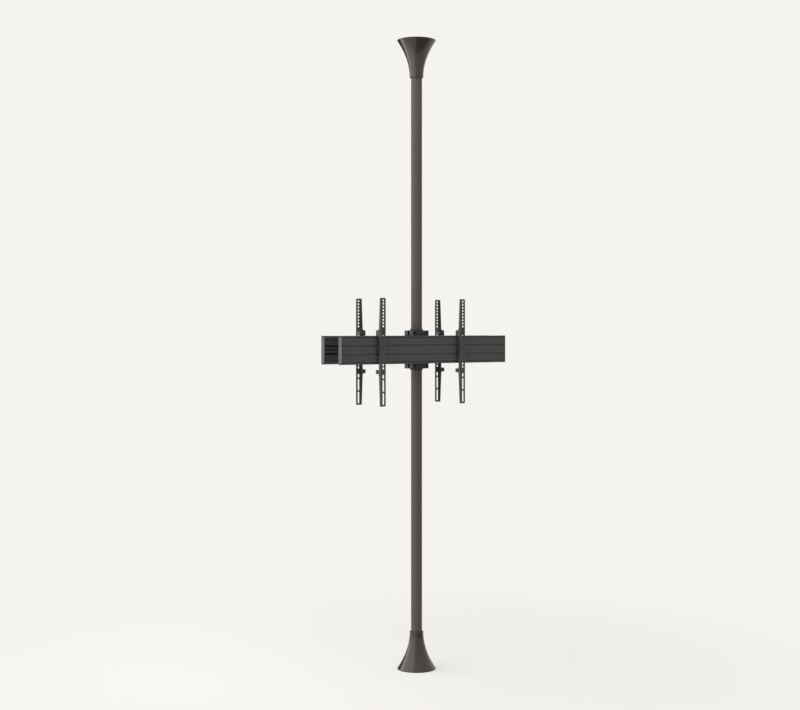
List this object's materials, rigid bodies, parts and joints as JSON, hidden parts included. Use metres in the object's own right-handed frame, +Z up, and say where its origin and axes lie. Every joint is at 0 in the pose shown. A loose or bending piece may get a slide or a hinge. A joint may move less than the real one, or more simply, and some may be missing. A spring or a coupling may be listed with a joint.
{
  "type": "floor-to-ceiling tv mount",
  "caption": "Round pole between floor and ceiling with flared covers, carrying two back-to-back grooved rails on a turning clamp, with hook-on slotted arms for screens on both sides.",
  "frame": {"origin": "on the floor under the pole's axis", "axes": "+Z up along the pole, +X along the rails to the front viewer's right, front side faces -Y"},
  "size_m": [0.828, 0.1666, 2.516],
  "materials": {
    "pole_paint": "satin dark warm grey powder coat",
    "plate_paint": "satin black powder coat",
    "black_screw": "black oxide steel",
    "zinc_screw": "zinc-plated steel",
    "cover_gloss": "gloss anthracite",
    "rubber": "matt",
    "liner_plastic": "matt",
    "clamp_black": "black anodised",
    "carrier_paint": "satin black powder coat",
    "bar_anodised": "black anodised, matt",
    "cap_plastic": "matt grey",
    "arm_powder": "fine-textured black powder coat"
  },
  "bodies": {
    "column": {"pole": "pole_paint", "floor_plate": "plate_paint", "ceiling_plate": "plate_paint", "floor_set_screws": "black_screw", "ceiling_set_screws": "black_screw"},
    "floor_cover": {"floor_cover": "cover_gloss", "floor_cover_ring": "rubber"},
    "ceiling_cover": {"ceiling_cover": "cover_gloss", "ceiling_cover_ring": "rubber"},
    "liner": {"clamp_liner": "liner_plastic"},
    "carriage": {"clamp_front": "clamp_black", "clamp_rear": "clamp_black", "clamp_bolts": "black_screw", "clamp_washers": "zinc_screw", "clamp_nuts": "zinc_screw", "carrier_front": "carrier_paint", "carrier_rear": "carrier_paint", "carrier_front_screws": "black_screw", "carrier_rear_screws": "black_screw", "bar_front": "bar_anodised", "bar_rear": "bar_anodised", "bar_front_screws": "black_screw", "bar_rear_screws": "black_screw", "bar_front_nuts": "zinc_screw", "bar_rear_nuts": "zinc_screw", "bar_front_cap_left": "cap_plastic", "bar_front_cap_right": "cap_plastic", "bar_rear_cap_left": "cap_plastic", "bar_rear_cap_right": "cap_plastic"},
    "arm_front_left": {"arm_front_left": "arm_powder", "arm_front_left_hook": "arm_powder", "arm_front_left_screw": "black_screw"},
    "arm_front_right": {"arm_front_right": "arm_powder", "arm_front_right_hook": "arm_powder", "arm_front_right_screw": "black_screw"},
    "arm_rear_left": {"arm_rear_left": "arm_powder", "arm_rear_left_hook": "arm_powder", "arm_rear_left_screw": "black_screw"},
    "arm_rear_right": {"arm_rear_right": "arm_powder", "arm_rear_right_hook": "arm_powder", "arm_rear_right_screw": "black_screw"}
  },
  "joints": [
    {"name": "floor_cover_slide", "type": "slide", "parent": "column", "child": "floor_cover", "axis": [0, 0, 1], "range_m": [0, 0.3]},
    {"name": "ceiling_cover_slide", "type": "slide", "parent": "column", "child": "ceiling_cover", "axis": [0, 0, -1], "range_m": [0, 0.3]},
    {"name": "height_slide", "type": "slide", "parent": "column", "child": "liner", "axis": [0, 0, 1], "range_m": [-0.7, 0.66]},
    {"name": "pole_turn", "type": "hinge", "parent": "liner", "child": "carriage", "pos_m": [0, 0, 1.278], "axis": [0, 0, 1], "continuous": true},
    {"name": "arm_front_left_slide", "type": "slide", "parent": "carriage", "child": "arm_front_left", "axis": [1, 0, 0], "range_m": [-0.158, 0.138]},
    {"name": "arm_front_right_slide", "type": "slide", "parent": "carriage", "child": "arm_front_right", "axis": [1, 0, 0], "range_m": [-0.098, 0.208]},
    {"name": "arm_rear_left_slide", "type": "slide", "parent": "carriage", "child": "arm_rear_left", "axis": [1, 0, 0], "range_m": [-0.158, 0.138]},
    {"name": "arm_rear_right_slide", "type": "slide", "parent": "carriage", "child": "arm_rear_right", "axis": [1, 0, 0], "range_m": [-0.098, 0.208]}
  ]
}
